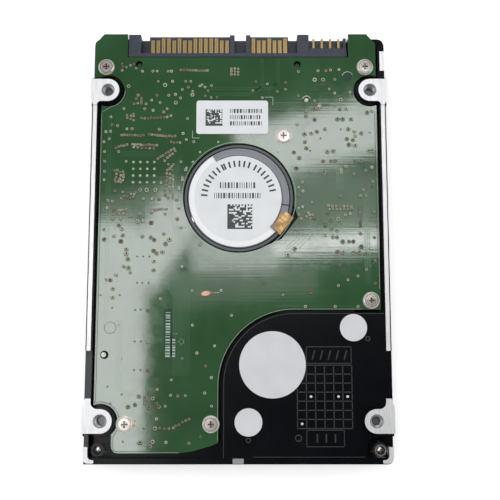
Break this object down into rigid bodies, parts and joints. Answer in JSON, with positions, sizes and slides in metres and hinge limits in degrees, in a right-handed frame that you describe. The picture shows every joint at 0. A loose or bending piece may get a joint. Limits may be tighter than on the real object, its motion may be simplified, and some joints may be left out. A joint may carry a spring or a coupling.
{
  "type": "hard disk drive",
  "caption": "2.5-inch hard disk drive with an exposed circuit board, serial data and power connector, spinning discs, swinging head arm and parking latch inside a cast housing",
  "frame": {"origin": "centre of the drive's footprint, on the plane its top cover rests on", "axes": "+X to the right with the connector end away and the board up, +Y towards the connector end, +Z out of the circuit board side"},
  "size_m": [0.0698, 0.1002, 0.0095],
  "materials": {
    "black_casting": "satin black e-coat on die-cast aluminium",
    "machined_aluminium": "machined",
    "steel": "satin",
    "platter_mirror": "polished thin-film coating on glass or aluminium",
    "nickel_plate": "bright nickel plate",
    "copper_wire": "enamelled copper wire",
    "gold_plate": "gold plate",
    "green_board": "glass fibre board under green solder mask",
    "black_plastic": "moulded",
    "slate_plastic": "moulded, slightly glossy",
    "white_plastic": "moulded acetal",
    "amber_film": "polyimide film",
    "dark_film": "polyester film",
    "gasket_rubber": "matt",
    "label_stock": "satin off-white label film",
    "bonded_magnet": "matt grey",
    "filter_felt": "soft felt bag"
  },
  "bodies": {
    "chassis": {"base_casting": "black_casting", "top_cover": "steel", "cover_gasket": "gasket_rubber", "cover_screw_1": "steel", "cover_screw_2": "steel", "cover_screw_3": "steel", "cover_screw_4": "steel", "cover_screw_5": "steel", "cover_screw_6": "steel", "pcb": "green_board", "pcb_screw_1": "nickel_plate", "pcb_screw_2": "nickel_plate", "pcb_screw_3": "nickel_plate", "pcb_screw_4": "nickel_plate", "pcb_screw_5": "nickel_plate", "pcb_screw_6": "nickel_plate", "pcb_insulator": "dark_film", "controller_chip": "black_plastic", "memory_chip": "black_plastic", "motor_driver_chip": "black_plastic", "head_connector": "black_plastic", "sata_housing": "slate_plastic", "power_contacts": "gold_plate", "signal_contacts": "gold_plate", "jumper_pins": "gold_plate", "motor_flange": "steel", "motor_flex": "amber_film", "spindle_label": "label_stock", "bearing_sleeve": "nickel_plate", "stator_core": "steel", "stator_windings": "copper_wire", "pivot_shaft": "steel", "upper_yoke": "nickel_plate", "lower_yoke": "nickel_plate", "upper_magnet": "nickel_plate", "lower_magnet": "nickel_plate", "ramp": "white_plastic", "latch_pin": "steel", "flex_cable": "amber_film", "recirculation_filter": "filter_felt", "pcb_label": "label_stock", "pivot_seal": "label_stock", "breather_seal": "label_stock", "test_port_seal": "label_stock"},
    "rotor": {"spindle_hub": "machined_aluminium", "spindle_shaft": "steel", "rotor_magnet": "bonded_magnet", "platter_1": "platter_mirror", "platter_2": "platter_mirror", "platter_spacer": "machined_aluminium", "disc_clamp": "steel", "clamp_screw": "steel"},
    "actuator": {"arm_block": "machined_aluminium", "pivot_bearing": "steel", "voice_coil": "copper_wire", "suspension_1": "steel", "suspension_2": "steel", "suspension_3": "steel", "suspension_4": "steel"},
    "latch_lever": {"latch": "black_plastic"}
  },
  "joints": [
    {"name": "spindle_rotation", "type": "hinge", "parent": "chassis", "child": "rotor", "pos_m": [0, 0.0104, 0.0045], "axis": [0, 0, 1], "continuous": true},
    {"name": "actuator_swing", "type": "hinge", "parent": "chassis", "child": "actuator", "pos_m": [0.00766, -0.028, 0.0038], "axis": [0, 0, 1], "range_deg": [-33.5, 0]},
    {"name": "latch_swing", "type": "hinge", "parent": "chassis", "child": "latch_lever", "pos_m": [0.0296, -0.0225, 0.0038], "axis": [0, 0, 1], "range_deg": [0, 12]}
  ]
}
